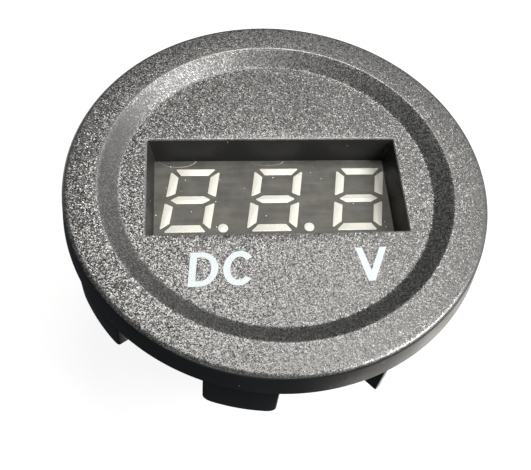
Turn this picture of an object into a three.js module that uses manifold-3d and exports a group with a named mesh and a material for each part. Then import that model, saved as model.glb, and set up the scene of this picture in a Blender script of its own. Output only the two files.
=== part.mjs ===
// A round snap-in panel voltmeter: bezel with snap legs, three-digit display, boards and a rear housing.
// Millimetres, +Z up. The origin is the middle of the base ring that the meter stands on.
import * as THREE from "three";
import { mergeVertices } from "three/addons/utils/BufferGeometryUtils.js";
import Module from "manifold-3d";

// Driving dimensions. Depths are measured down from the top of the rim.
const TOTAL_HEIGHT = 24;
const ROUND_SEGMENTS = 72;
const RIM = { topRadius: 18.5, baseRadius: 18.8, depth: 2.75, edge: 0.3 };
const DISH = { outerRadius: 15.58, innerRadius: 13.92, depth: 1 };
const WINDOW = { x: -0.15, y: 0, width: 22.66, height: 10.08, depth: 3.8, taperX: 0.54, taperY: 0.35 };
const LEG = {
  outerRadius: 18.6, innerRadius: 17.3, depth: 7.3, width: 6.15, corner: 0.7,
  firstAngle: 257.5, step: 45, count: 8, ribPlace: 1,
  barbReach: 0.7, barbTop: 5.55, barbHeight: 1.1, barbWidth: 4.8,
};
const RIB = { angle: 295, tilt: 18, thickness: 0.7, length: 1.5, depth: 7.1, outerRadius: 18.6 };

// Display module, centred on its digits.
const MODULE = { x: 0.08, y: 0.24, width: 22.4, height: 10, depth: 5.9, face: 1, wall: 0.45 };
const DIGIT = {
  count: 3, pitch: 7.75, lift: 0.08, halfWidth: 2.27, halfHeight: 3.47, bar: 0.82, cut: 0.25, slant: 0.164,
};
const MIDDLE = { tip: 1.86, flat: 1.15, outer: 0.25, inner: 0.68 };
const POINT = { x: 2.86, y: -3.06, radius: 0.47, digits: 2 };
const GUIDE = { thickness: 1.2, halfWidth: 2.25, halfHeight: 3.7, shrink: 0.95 };
const CHIP = { size: 0.45, height: 0.25 };
const LED_BOARD = { thickness: 0.8, gap: 0.1 };
const FRAME = { gap: 0.15, wall: 1.15, depth: 6 };
const PINS = { count: 6, pitch: 2.54, rowOffset: 3.81, side: 0.5, hole: 0.9, barWidth: 1.5, tail: 0.7 };

// Rear housing: a flange for the legs, a barrel for a 29 mm panel hole, and a floor.
const GASKET = { outerRadius: 16.5, innerRadius: 15.1, thickness: 0.6 };
const FLANGE = { radius: 16.9, grooveRadius: 16.3, grooveDepth: 5.4, depth: 7.6, innerRadius: 14.7 };
const BARREL = { radius: 14.3, innerRadius: 13.1, stepDepth: 6.4, depth: 14.8, innerDepth: 14.2 };
const CLIP_GROOVE = { radius: 13.8, topDepth: 11.4, bottomDepth: 12.6 };
const FLOOR = { radius: 12.6, innerRadius: 11.9, holeRadius: 9.6, innerDepth: 15.6, depth: 16.6 };
const POST = { x: 11.1, radius: 1.6, holeRadius: 0.85, holeDepth: 15 };
const SCREW = { headRadius: 1.6, headHeight: 0.9, shankRadius: 0.7, length: 3.6, slot: 0.4, slotLength: 2 };

const BASE = { plugRadius: 9.4, ringRadius: 10.4, ringInner: 9.1, floorDepth: 17.4, chamfer: 0.4 };
const BLADE = {
  x: 4, width: 4.75, thickness: 0.8, tipDepth: 23.2, shoulderDepth: 15.2,
  tailWidth: 2, tailDepth: 10.8, hole: 0.7, holeDepth: 21.4, tipCut: 0.9, clearance: 0.1,
};
const MARK = { x: 6.9, length: 2.2, bar: 0.5, height: 0.3 };

const BOARD = {
  radius: 12.6, topDepth: 11.2, bottomDepth: 12.4, screwHole: 1, slotWidth: 1.4, slotLength: 2.6,
};
const TRIMMER = {
  y: 7, side: 3.6, depth: 13.7, rotorRadius: 1.25, rotorTop: 13.75, rotorTip: 16.6,
  slotWidth: 0.5, slotDepth: 0.7, slotLength: 2, accessRadius: 1.9,
};

// Surface-mount parts: body size, lift off the board, and leads at these places along the body.
const CHIP_LEAD_PITCH = 1.27;
const CHIP_LEADS = Array.from({ length: 7 }, (_, i) => (i - 3) * CHIP_LEAD_PITCH);
const SMALL_PART = {
  width: 1.5, depth: 1.25, height: 0.4, lift: 0.1, leads: [0], leadWidth: 1.15, span: 2, along: "x",
};
const COMPONENTS = {
  controller_chip: {
    x: 0, y: -7.4, width: 8.65, depth: 3.9, height: 1.4, lift: 0.15,
    leads: CHIP_LEADS, leadWidth: 0.42, span: 6, along: "y", colour: "chipPlastic",
  },
  voltage_regulator: {
    x: -7.2, y: -2, width: 3, depth: 1.4, height: 1.1, lift: 0.1,
    leads: [-0.95, 0.95], leadWidth: 0.4, span: 2.4, along: "y", colour: "chipPlastic",
  },
  protection_diode: {
    x: -7.4, y: 6, width: 4, depth: 2.6, height: 2, lift: 0.1,
    leads: [0], leadWidth: 1.4, span: 4.8, along: "x", colour: "chipPlastic",
  },
  tantalum_capacitor: {
    x: 7.4, y: 6.2, width: 3.4, depth: 2.7, height: 1.8, lift: 0.1,
    leads: [0], leadWidth: 2.2, span: 3.8, along: "x", colour: "tantalum",
  },
  filter_capacitor: { ...SMALL_PART, x: 4.2, y: 5.4, height: 0.9, colour: "ceramic" },
  bypass_capacitor: { ...SMALL_PART, x: -3.8, y: 5.4, height: 0.9, colour: "ceramic" },
  divider_resistor_high: { ...SMALL_PART, x: 7, y: 2.2, colour: "resistor" },
  divider_resistor_low: { ...SMALL_PART, x: 7, y: -2.2, colour: "resistor" },
  reference_resistor: { ...SMALL_PART, x: 6.2, y: -6.2, colour: "resistor" },
  series_resistor: { ...SMALL_PART, x: -7, y: 2.2, colour: "resistor" },
};

// How far a cutting solid runs past a face, how far joined solids run into each other, and the
// clearance of close-fitting moulded faces.
const PAST = 1;
const WELD = 0.2;
const CLEARANCE = 0.02;
const BOTH_SIDES = [-1, 1];

const COLOURS = {
  blackPlastic: [0x26262a, 0.55, 0],
  legPlastic: [0x1c1c1e, 0.6, 0],
  displayFace: [0x4b4b46, 0.4, 0],
  segment: [0xe8e6da, 0.35, 0],
  board: [0x1d5a34, 0.45, 0],
  chipPlastic: [0x141416, 0.5, 0],
  ceramic: [0xb59a72, 0.5, 0],
  resistor: [0x1a1a22, 0.4, 0],
  tantalum: [0xc79a2b, 0.45, 0],
  trimmerBlue: [0x2a56a8, 0.45, 0],
  rotorWhite: [0xe9e7df, 0.5, 0],
  steel: [0xb9bcc0, 0.3, 1],
  brass: [0xc9a24b, 0.3, 1],
  rubber: [0x151515, 0.85, 0],
};

const wasm = await Module();
wasm.setup();

const meter = new THREE.Group();
const at = (depth) => TOTAL_HEIGHT - depth;
const radians = THREE.MathUtils.degToRad;

// Solids: closed three.js geometries joined and cut by manifold-3d.
function solidFrom(geometry) {
  const bare = geometry.clone();
  bare.deleteAttribute("normal");
  bare.deleteAttribute("uv");
  const merged = mergeVertices(bare, 1e-4);
  const corners = merged.index.array;
  const kept = [];
  for (let i = 0; i < corners.length; i += 3) {
    const [a, b, c] = corners.subarray(i, i + 3);
    if (a !== b && b !== c && c !== a) kept.push(a, b, c);
  }
  const vertProperties = Float32Array.from(merged.attributes.position.array);
  return new wasm.Manifold(new wasm.Mesh({ numProp: 3, vertProperties, triVerts: Uint32Array.from(kept) }));
}

function geometryFrom(solid) {
  const { vertProperties, triVerts } = solid.getMesh();
  const geometry = new THREE.BufferGeometry();
  geometry.setAttribute("position", new THREE.BufferAttribute(vertProperties, 3));
  geometry.setIndex(new THREE.BufferAttribute(triVerts, 1));
  const flat = geometry.toNonIndexed();
  flat.computeVertexNormals();
  return flat;
}

const join = (solids) => solids.reduce((whole, piece) => whole.add(piece));
const cut = (solid, tools) => tools.reduce((whole, tool) => whole.subtract(tool), solid);

// A profile of [radius, z] pairs turned about Z, listed with the material on its left.
function turned(profile, segments = ROUND_SEGMENTS) {
  const points = [...profile, profile[0]].map(([r, z]) => new THREE.Vector2(r, z));
  return solidFrom(new THREE.LatheGeometry(points, segments).rotateX(Math.PI / 2));
}

const shapeOf = (outline) => new THREE.Shape(outline.map(([x, y]) => new THREE.Vector2(x, y)));

function prism(shape, low, high) {
  const options = { depth: high - low, bevelEnabled: false, curveSegments: 12 };
  return solidFrom(new THREE.ExtrudeGeometry(shape, options).translate(0, 0, low));
}

function block(width, depth, low, high, x = 0, y = 0) {
  return solidFrom(new THREE.BoxGeometry(width, depth, high - low).translate(x, y, (low + high) / 2));
}

function rod(radius, low, high, x = 0, y = 0, sides = 24) {
  const geometry = new THREE.CylinderGeometry(radius, radius, high - low, sides);
  return solidFrom(geometry.rotateX(Math.PI / 2).translate(x, y, (low + high) / 2));
}

// A rectangular hole that narrows downwards.
function taperedHole(width, height, taperX, taperY, low, high, x, y) {
  const geometry = new THREE.BoxGeometry(width, height, high - low);
  const place = geometry.attributes.position;
  for (let i = 0; i < place.count; i += 1) {
    if (place.getZ(i) > 0) continue;
    place.setX(i, place.getX(i) - Math.sign(place.getX(i)) * taperX);
    place.setY(i, place.getY(i) - Math.sign(place.getY(i)) * taperY);
  }
  return solidFrom(geometry.translate(x, y, (low + high) / 2));
}

function add(name, solid, colour, parent = meter) {
  const [color, roughness, metalness] = COLOURS[colour];
  const mesh = new THREE.Mesh(
    geometryFrom(solid),
    new THREE.MeshStandardMaterial({ color, roughness, metalness }),
  );
  mesh.name = name;
  parent.add(mesh);
  return mesh;
}

// Bezel: turned disc, a frame behind the window for the display, and the window itself.
function makeBezel() {
  const underside = at(RIM.depth);
  const disc = turned([
    [0, underside],
    [RIM.baseRadius, underside],
    [RIM.topRadius + RIM.edge / 3, at(RIM.edge)],
    [RIM.topRadius - RIM.edge / 3, at(0)],
    [DISH.outerRadius, at(0)],
    [DISH.innerRadius, at(DISH.depth)],
    [0, at(DISH.depth)],
  ]);
  const pocketWidth = MODULE.width + 2 * FRAME.gap;
  const pocketHeight = MODULE.height + 2 * FRAME.gap;
  const [x, y] = [MODULE.x, MODULE.y];
  const walls = block(
    pocketWidth + 2 * FRAME.wall, pocketHeight + 2 * FRAME.wall, at(FRAME.depth), at(RIM.depth) + WELD, x, y,
  );
  const pocket = block(pocketWidth, pocketHeight, at(FRAME.depth) - PAST, at(WINDOW.depth), x, y);
  const hole = taperedHole(
    WINDOW.width, WINDOW.height, WINDOW.taperX, WINDOW.taperY,
    at(WINDOW.depth) - CLEARANCE, at(DISH.depth) + CLEARANCE, WINDOW.x, WINDOW.y,
  );
  return cut(join([disc, walls]), [pocket, hole]);
}

// Snap leg, made on the +X side: a curved slab with round lower corners and a barb inside.
function makeLeg() {
  const [top, bottom] = [at(RIM.depth), at(LEG.depth)];
  const reach = 1.1 * Math.asin(LEG.width / 2 / LEG.innerRadius);
  const sector = new THREE.Shape();
  sector.absarc(0, 0, LEG.outerRadius, -reach, reach, false);
  sector.absarc(0, 0, LEG.innerRadius, reach, -reach, true);
  const half = LEG.width / 2;
  const tongue = new THREE.Shape();
  tongue.moveTo(-half, top + PAST);
  tongue.lineTo(-half, bottom + LEG.corner);
  tongue.absarc(-half + LEG.corner, bottom + LEG.corner, LEG.corner, Math.PI, 1.5 * Math.PI, false);
  tongue.absarc(half - LEG.corner, bottom + LEG.corner, LEG.corner, 1.5 * Math.PI, 2 * Math.PI, false);
  tongue.lineTo(half, top + PAST);
  const options = { depth: 2 * LEG.outerRadius, bevelEnabled: false, curveSegments: 5 };
  const swept = new THREE.ExtrudeGeometry(tongue, options).rotateX(Math.PI / 2).rotateZ(Math.PI / 2);
  const slab = prism(sector, bottom, top).intersect(solidFrom(swept));
  const wedge = new THREE.Shape();
  const root = LEG.innerRadius + WELD;
  wedge.moveTo(root, at(LEG.barbTop));
  wedge.lineTo(LEG.innerRadius - LEG.barbReach, at(LEG.barbTop));
  wedge.lineTo(root, at(LEG.barbTop + LEG.barbHeight));
  const barbOptions = { depth: LEG.barbWidth, bevelEnabled: false };
  const barb = new THREE.ExtrudeGeometry(wedge, barbOptions).rotateX(Math.PI / 2);
  return join([slab, solidFrom(barb.translate(0, LEG.barbWidth / 2, 0))]);
}

function addLegs() {
  const leg = makeLeg();
  for (let place = 0; place < LEG.count; place += 1) {
    if (place === LEG.ribPlace) continue;
    const turn = new THREE.Group();
    turn.rotation.z = radians(LEG.firstAngle + place * LEG.step);
    add(`snap_leg_${place + 1}`, leg, "legPlastic", turn);
    meter.add(turn);
  }
  const turn = new THREE.Group();
  turn.rotation.z = radians(RIB.angle);
  const fin = block(RIB.length, RIB.thickness, at(RIB.depth), at(RIM.depth), -RIB.length / 2);
  const rib = add("locating_rib", fin, "legPlastic", turn);
  rib.position.x = RIB.outerRadius;
  rib.rotation.z = radians(RIB.tilt);
  meter.add(turn);
}

// Seven-segment outlines about a digit's own centre, slanted to the right.
const slanted = (outline) => outline.map(([x, y]) => [x + y * Math.tan(DIGIT.slant), y]);
const mirrored = (outline, sx, sy) => outline.map(([x, y]) => [x * sx, y * sy]);

function segmentOutlines() {
  const { halfWidth: w, halfHeight: h, bar: t, cut: c } = DIGIT;
  const flat = [[-w + c, h], [w - c, h], [w - t - c, h - t], [-w + t + c, h - t]];
  const side = [[w, h - c], [w, MIDDLE.outer], [w - t, MIDDLE.inner], [w - t, h - t - c]];
  const half = [[-MIDDLE.tip, 0], [-MIDDLE.flat, t / 2], [MIDDLE.flat, t / 2], [MIDDLE.tip, 0]];
  const middle = [...half, [MIDDLE.flat, -t / 2], [-MIDDLE.flat, -t / 2]];
  const sides = [[1, 1], [-1, 1], [1, -1], [-1, -1]].map(([sx, sy]) => mirrored(side, sx, sy));
  return [flat, mirrored(flat, 1, -1), middle, ...sides].map(slanted);
}

function shrunk(outline, factor) {
  const middle = [0, 1].map((k) => outline.reduce((sum, point) => sum + point[k], 0) / outline.length);
  return outline.map((point) => point.map((value, k) => middle[k] + (value - middle[k]) * factor));
}

const moved = (outline, x, y) => outline.map(([px, py]) => [px + x, py + y]);
const digitX = (digit) => MODULE.x + (digit - 1) * DIGIT.pitch;
const digitY = MODULE.y + DIGIT.lift;

function makeShell() {
  const [top, low] = [at(WINDOW.depth), at(WINDOW.depth + MODULE.depth)];
  const { width, height, wall, x, y } = MODULE;
  const body = block(width, height, low, top, x, y);
  const room = block(width - 2 * wall, height - 2 * wall, low - PAST, top - MODULE.face, x, y);
  const [from, to] = [top - MODULE.face - PAST, top + PAST];
  const holes = [];
  for (let digit = 0; digit < DIGIT.count; digit += 1) {
    for (const outline of segmentOutlines()) {
      holes.push(prism(shapeOf(moved(outline, digitX(digit), digitY)), from, to));
    }
    if (digit < POINT.digits) {
      holes.push(rod(POINT.radius, from, to, digitX(digit) + POINT.x, digitY + POINT.y, 16));
    }
  }
  return cut(body, [room, ...holes]);
}

function makeGuide(digit) {
  const top = at(WINDOW.depth) - CLEARANCE;
  const seat = at(WINDOW.depth + MODULE.face) - CLEARANCE;
  const low = seat - GUIDE.thickness;
  const { halfWidth: w, halfHeight: h, shrink } = GUIDE;
  const [x, y] = [digitX(digit), digitY];
  const sheet = slanted([[-w, -h], [w, -h], [w, h], [-w, h]]);
  const pieces = [prism(shapeOf(moved(sheet, x, y)), low, seat)];
  for (const outline of segmentOutlines()) {
    pieces.push(prism(shapeOf(moved(shrunk(outline, shrink), x, y)), seat - WELD, top));
  }
  if (digit < POINT.digits) {
    const [px, py] = [x + POINT.x, y + POINT.y];
    pieces.push(block(POINT.x, 2 * POINT.radius, low, seat, x + POINT.x / 2 + POINT.radius, py));
    pieces.push(rod(POINT.radius * shrink, seat - WELD, top, px, py, 12));
  }
  return join(pieces);
}

function makeDisplayBoard() {
  const low = at(WINDOW.depth + MODULE.depth);
  const high = low + LED_BOARD.thickness;
  const { width, height, wall, x, y } = MODULE;
  const margin = 2 * (wall + LED_BOARD.gap);
  const pieces = [block(width - margin, height - margin, low, high, x, y)];
  for (let digit = 0; digit < DIGIT.count; digit += 1) {
    for (const outline of segmentOutlines()) {
      const [[cx, cy]] = moved(shrunk(outline, 0), digitX(digit), digitY);
      pieces.push(block(CHIP.size, CHIP.size, high - WELD, high + CHIP.height, cx, cy));
    }
  }
  return join(pieces);
}

const pinPlaces = Array.from({ length: PINS.count }, (_, i) => (i - (PINS.count - 1) / 2) * PINS.pitch);

function makePinRow(side) {
  const [high, low] = [at(WINDOW.depth + MODULE.depth), at(BOARD.topDepth)];
  const y = side * PINS.rowOffset;
  const pieces = [block(PINS.count * PINS.pitch, PINS.barWidth, low, high, 0, y)];
  for (const x of pinPlaces) {
    pieces.push(block(PINS.side, PINS.side, at(BOARD.bottomDepth) - PINS.tail, low + WELD, x, y));
  }
  return join(pieces);
}

function makeMainBoard() {
  const [low, high] = [at(BOARD.bottomDepth), at(BOARD.topDepth)];
  const [from, to] = [low - PAST, high + PAST];
  const holes = [];
  for (const side of BOTH_SIDES) {
    holes.push(rod(BOARD.screwHole, from, to, side * POST.x, 0, 16));
    holes.push(block(BOARD.slotWidth, BOARD.slotLength, from, to, side * BLADE.x, 0));
    for (const x of pinPlaces) {
      holes.push(block(PINS.hole, PINS.hole, from, to, x, side * PINS.rowOffset));
    }
  }
  return cut(rod(BOARD.radius, low, high, 0, 0, 48), holes);
}

// A surface-mount part hangs under the main board, its leads running across the body.
function makeComponent({ x, y, width, depth, height, lift, leads, leadWidth, span, along }) {
  const top = at(BOARD.bottomDepth);
  const pieces = [block(width, depth, top - lift - height, top - lift, x, y)];
  for (const place of leads) {
    const low = top - lift - height / 2;
    const lead = along === "y"
      ? block(leadWidth, span, low, top, x + place, y)
      : block(span, leadWidth, low, top, x, y + place);
    pieces.push(lead);
  }
  return join(pieces);
}

function addTrimmer() {
  const { y, side, rotorRadius: radius, slotWidth, slotDepth, slotLength } = TRIMMER;
  add("trimmer_base", block(side, side, at(TRIMMER.depth), at(BOARD.bottomDepth), 0, y), "trimmerBlue");
  const tip = at(TRIMMER.rotorTip);
  const shaft = rod(radius, tip, at(TRIMMER.rotorTop));
  const slots = [
    block(slotLength, slotWidth, tip - PAST, tip + slotDepth),
    block(slotWidth, slotLength, tip - PAST, tip + slotDepth),
  ];
  add("trimmer_rotor", cut(shaft, slots), "rotorWhite").position.y = y;
}

function makeHousing() {
  const shell = turned([
    [FLOOR.holeRadius, at(FLOOR.depth)],
    [FLOOR.radius, at(FLOOR.depth)],
    [BARREL.radius, at(BARREL.depth)],
    [BARREL.radius, at(CLIP_GROOVE.bottomDepth)],
    [CLIP_GROOVE.radius, at(CLIP_GROOVE.bottomDepth)],
    [CLIP_GROOVE.radius, at(CLIP_GROOVE.topDepth)],
    [BARREL.radius, at(CLIP_GROOVE.topDepth)],
    [BARREL.radius, at(FLANGE.depth)],
    [FLANGE.grooveRadius, at(FLANGE.depth)],
    [FLANGE.grooveRadius, at(FLANGE.grooveDepth)],
    [FLANGE.radius, at(FLANGE.grooveDepth)],
    [FLANGE.radius, at(RIM.depth + GASKET.thickness)],
    [FLANGE.innerRadius, at(RIM.depth + GASKET.thickness)],
    [FLANGE.innerRadius, at(BARREL.stepDepth)],
    [BARREL.innerRadius, at(BARREL.stepDepth)],
    [BARREL.innerRadius, at(BARREL.innerDepth)],
    [FLOOR.innerRadius, at(FLOOR.innerDepth)],
    [FLOOR.holeRadius, at(FLOOR.innerDepth)],
  ]);
  const board = at(BOARD.bottomDepth);
  const posts = BOTH_SIDES.map((s) => rod(POST.radius, at(FLOOR.innerDepth) - WELD, board, s * POST.x));
  const holes = BOTH_SIDES.map((s) =>
    rod(POST.holeRadius, at(POST.holeDepth), board + PAST, s * POST.x, 0, 16),
  );
  return cut(join([shell, ...posts]), holes);
}

function makeScrew() {
  const seat = at(BOARD.topDepth);
  const head = rod(SCREW.headRadius, seat, seat + SCREW.headHeight);
  const shank = rod(SCREW.shankRadius, seat - SCREW.length, seat + WELD, 0, 0, 12);
  const slots = [[SCREW.slotLength, SCREW.slot], [SCREW.slot, SCREW.slotLength]].map(([w, d]) =>
    block(w, d, seat + SCREW.headHeight / 2, seat + SCREW.headHeight + PAST),
  );
  return cut(join([head, shank]), slots);
}

function makeTerminalBase() {
  const [top, floor] = [at(FLOOR.innerDepth), at(BASE.floorDepth)];
  const body = turned([
    [0, floor],
    [BASE.ringInner, floor],
    [BASE.ringInner, 0],
    [BASE.ringRadius - BASE.chamfer, 0],
    [BASE.ringRadius, BASE.chamfer],
    [BASE.ringRadius, at(FLOOR.depth)],
    [BASE.plugRadius, at(FLOOR.depth)],
    [BASE.plugRadius, top],
    [0, top],
  ]);
  const slotWidth = BLADE.thickness + 2 * BLADE.clearance;
  const slotLength = BLADE.width + 2 * BLADE.clearance;
  const [from, to] = [floor - PAST, top + PAST];
  const slots = BOTH_SIDES.map((s) => block(slotWidth, slotLength, from, to, s * BLADE.x));
  const access = rod(TRIMMER.accessRadius, from, to, 0, TRIMMER.y);
  const marks = [
    block(MARK.length, MARK.bar, floor - MARK.height, floor + WELD, MARK.x),
    block(MARK.bar, MARK.length, floor - MARK.height, floor + WELD, MARK.x),
    block(MARK.bar, MARK.length, floor - MARK.height, floor + WELD, -MARK.x),
  ];
  return cut(join([body, ...marks]), [...slots, access]);
}

// Blade terminal: an outline in the YZ plane, given its thickness along X.
function makeBlade() {
  const [wide, narrow] = [BLADE.width / 2, BLADE.tailWidth / 2];
  const [tip, shoulder, tail] = [at(BLADE.tipDepth), at(BLADE.shoulderDepth), at(BLADE.tailDepth)];
  const outline = shapeOf([
    [-wide + BLADE.tipCut, tip], [wide - BLADE.tipCut, tip], [wide, tip + BLADE.tipCut], [wide, shoulder],
    [narrow, shoulder], [narrow, tail], [-narrow, tail], [-narrow, shoulder],
    [-wide, shoulder], [-wide, tip + BLADE.tipCut],
  ]);
  outline.holes.push(new THREE.Path().absarc(0, at(BLADE.holeDepth), BLADE.hole, 0, 2 * Math.PI, true));
  const options = { depth: BLADE.thickness, bevelEnabled: false, curveSegments: 8 };
  const geometry = new THREE.ExtrudeGeometry(outline, options).translate(0, 0, -BLADE.thickness / 2);
  return solidFrom(geometry.rotateX(Math.PI / 2).rotateZ(Math.PI / 2));
}

add("bezel", makeBezel(), "blackPlastic");
addLegs();
add("display_shell", makeShell(), "displayFace");
for (let digit = 0; digit < DIGIT.count; digit += 1) {
  add(`digit_guide_${digit + 1}`, makeGuide(digit), "segment");
}
add("display_board", makeDisplayBoard(), "board");
add("pin_row_front", makePinRow(-1), "steel");
add("pin_row_back", makePinRow(1), "steel");
add("main_board", makeMainBoard(), "board");
for (const [name, component] of Object.entries(COMPONENTS)) {
  add(name, makeComponent(component), component.colour);
}
addTrimmer();
add("sealing_gasket", turned([
  [GASKET.innerRadius, at(RIM.depth + GASKET.thickness)],
  [GASKET.outerRadius, at(RIM.depth + GASKET.thickness)],
  [GASKET.outerRadius, at(RIM.depth)],
  [GASKET.innerRadius, at(RIM.depth)],
]), "rubber");
add("rear_housing", makeHousing(), "blackPlastic");
BOTH_SIDES.forEach((side, i) => {
  add(`board_screw_${i + 1}`, makeScrew(), "steel").position.x = side * POST.x;
});
add("terminal_base", makeTerminalBase(), "blackPlastic");
add("blade_terminal_negative", makeBlade(), "steel").position.x = -BLADE.x;
add("blade_terminal_positive", makeBlade(), "brass").position.x = BLADE.x;

export default meter;
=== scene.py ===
"""Looks of a round snap-in panel voltmeter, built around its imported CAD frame.

Shapes are modelled in millimetres, in the part's own frame, and scaled to metres when they enter the
scene. Heights are given as depths below the top face of the rim.
"""
import math

import bmesh
import bpy
from mathutils import Matrix, Vector


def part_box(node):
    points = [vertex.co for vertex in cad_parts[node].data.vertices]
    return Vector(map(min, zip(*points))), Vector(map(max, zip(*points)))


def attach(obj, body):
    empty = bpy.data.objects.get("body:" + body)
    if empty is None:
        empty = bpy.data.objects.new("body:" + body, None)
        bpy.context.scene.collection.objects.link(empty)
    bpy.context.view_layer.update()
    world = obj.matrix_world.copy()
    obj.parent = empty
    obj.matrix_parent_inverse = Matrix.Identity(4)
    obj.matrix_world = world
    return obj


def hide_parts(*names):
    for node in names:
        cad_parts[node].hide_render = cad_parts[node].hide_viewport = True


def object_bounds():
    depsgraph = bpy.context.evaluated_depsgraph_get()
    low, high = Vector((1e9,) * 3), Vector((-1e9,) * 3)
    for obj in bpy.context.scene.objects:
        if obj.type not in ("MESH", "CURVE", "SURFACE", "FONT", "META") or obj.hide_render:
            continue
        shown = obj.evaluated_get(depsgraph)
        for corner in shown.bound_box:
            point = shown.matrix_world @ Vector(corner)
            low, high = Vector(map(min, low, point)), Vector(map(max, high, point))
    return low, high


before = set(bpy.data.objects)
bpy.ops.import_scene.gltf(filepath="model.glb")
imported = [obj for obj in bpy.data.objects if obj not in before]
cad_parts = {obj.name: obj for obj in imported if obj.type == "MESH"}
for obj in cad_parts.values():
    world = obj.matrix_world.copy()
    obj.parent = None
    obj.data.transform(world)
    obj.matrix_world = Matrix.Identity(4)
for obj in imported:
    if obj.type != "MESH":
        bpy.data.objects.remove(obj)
cad_low, cad_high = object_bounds()

# Driving dimensions, in millimetres and degrees.
MM = 0.001
SHARP = math.radians(35)
RIM_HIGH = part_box("bezel")[1] / MM
TOP = RIM_HIGH.z
RIM = {"top": 18.5, "base": RIM_HIGH.x, "depth": 2.75, "top_round": 0.45, "base_round": 0.15,
       "side_lap": 0.05}
DISH = {"outer": 15.58, "inner": 13.92, "depth": 1.0, "outer_round": 0.3, "inner_round": 0.5}
WINDOW = {"x": -0.15, "half_w": 11.33, "half_h": 5.04, "depth": 3.8, "taper_x": 0.54, "taper_y": 0.35,
          "corner": 0.12, "edge_round": 0.12}
SHELL_LOW, SHELL_HIGH = (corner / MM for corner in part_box("display_shell"))
MODULE = (SHELL_LOW + SHELL_HIGH) / 2
MODULE_HALF = (SHELL_HIGH - SHELL_LOW) / 2
POCKET = {"gap": 0.15, "wall": 1.15, "depth": 6.0, "foot": 0.2, "edge": 0.15, "lead": 0.2}
LEG = {"outer": 18.6, "inner": 17.3, "depth": 7.3, "width": 6.15, "corner": 0.8, "edge": 0.12,
       "first": 257.5, "step": 45, "places": (0, 2, 3, 4, 5, 6, 7), "bury": 0.05,
       "barb_reach": 0.7, "barb_top": 5.55, "barb_height": 1.1, "barb_width": 4.8, "barb_bury": 0.2}
RIB = {"angle": 295, "tilt": 18, "thickness": 0.7, "length": 1.5, "depth": 7.1, "outer": 18.6,
       "edge": 0.12, "bury": 0.05}

# Bars are the top and bottom segments, posts the upright ones; tips and roots are inset from the corners.
DIGIT = {"count": 3, "pitch": 7.75, "half_w": 2.27, "half_h": 3.47, "bar_x": 0.82, "bar_y": 0.78,
         "slant": 0.165, "corner": 0.09, "lift": 0.08, "bar_tip": 0.37, "bar_root": 0.18,
         "post_tip": 0.27, "post_root": 0.17, "post_end": 0.3, "post_root_end": 0.7,
         "middle": 0.43, "middle_tip": 1.86, "middle_flank": 1.15,
         "thickness": 1.0, "clearance": 0.008, "sunk": 0.015, "edge": 0.02}
POINT = {"x": 2.86, "y": -3.06, "radius": 0.47}
SKIRT = {"wall": 0.45, "corner": 0.2, "inner_corner": 0.1}

# Rear pieces: radii and widths, and depths below the rim's top face.
GASKET = {"inner": 15.1, "outer": 16.5, "bottom": 3.35, "edge": 0.1}
HOUSING = {"mouth": 14.7, "collar": 16.9, "flange": 16.3, "barrel": 14.3, "groove": 13.8, "bore": 13.1,
           "nose": 12.6, "floor": 11.9, "hole": 9.6,
           "top": 3.35, "collar_end": 5.4, "mouth_end": 6.4, "seat": 7.6, "groove_top": 11.4,
           "groove_end": 12.6, "bore_end": 14.2, "taper": 14.8, "floor_top": 15.6, "bottom": 16.6,
           "edge": 0.12, "fillet": 0.25}
POST = {"x": 11.1, "radius": 1.6, "hole": 0.85, "top": 12.4, "hole_end": 15.0, "bottom": 15.8}
BASE = {"well": 9.1, "outer": 10.4, "neck": 9.4, "top": 15.6, "shoulder": 16.6, "floor": 17.4}
POLARITY = {"x": 6.9, "long": 2.2, "short": 0.5, "height": 0.5, "drop": 0.05, "edge": 0.06}
ACCESS = {"y": 7, "radius": 1.9}
BLADE = {"x": 4, "half_w": 2.375, "half_narrow": 1.0, "tip_cut": 0.9, "tip": 23.2, "shoulder": 15.2,
         "tail": 10.8, "corner": 0.15, "tip_corner": 0.2, "hole": 0.7, "hole_depth": 21.4,
         "half_t": 0.4, "edge": 0.07, "slot": (1.0, 4.95, 4)}


def at(depth):
    """The height of a depth below the rim's top face."""
    return TOP - depth


# Mesh helpers -------------------------------------------------------------------------------------

def add_object(name, data):
    """A new object in the scene."""
    obj = bpy.data.objects.new(name, data)
    bpy.context.scene.collection.objects.link(obj)
    return obj


def baked(obj, name):
    """The mesh of an object with its curve made solid and its modifiers applied."""
    bpy.context.view_layer.update()
    solid = obj.evaluated_get(bpy.context.evaluated_depsgraph_get())
    mesh = bpy.data.meshes.new_from_object(solid)
    mesh.name = name
    return mesh


def circle(radius, x=0.0, y=0.0, count=32):
    """Points round a circle."""
    angles = (2 * math.pi * i / count for i in range(count))
    return [(x + radius * math.cos(a), y + radius * math.sin(a)) for a in angles]


def rounded(corners, steps=4):
    """A closed outline from (x, y, radius) corners, with an arc of that radius at each corner."""
    outline = []
    for i, (x, y, radius) in enumerate(corners):
        if radius == 0:
            outline.append((x, y))
            continue
        here = Vector((x, y))
        before = (Vector(corners[i - 1][:2]) - here).normalized()
        after = (Vector(corners[(i + 1) % len(corners)][:2]) - here).normalized()
        half = before.angle(after) / 2
        centre = here + (before + after).normalized() * (radius / math.sin(half))
        start = here + before * (radius / math.tan(half)) - centre
        end = here + after * (radius / math.tan(half)) - centre
        first = math.atan2(start.y, start.x)
        turn = (math.atan2(end.y, end.x) - first + math.pi) % (2 * math.pi) - math.pi
        for s in range(steps + 1):
            angle = first + turn * s / steps
            outline.append((centre.x + radius * math.cos(angle), centre.y + radius * math.sin(angle)))
    return outline


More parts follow.
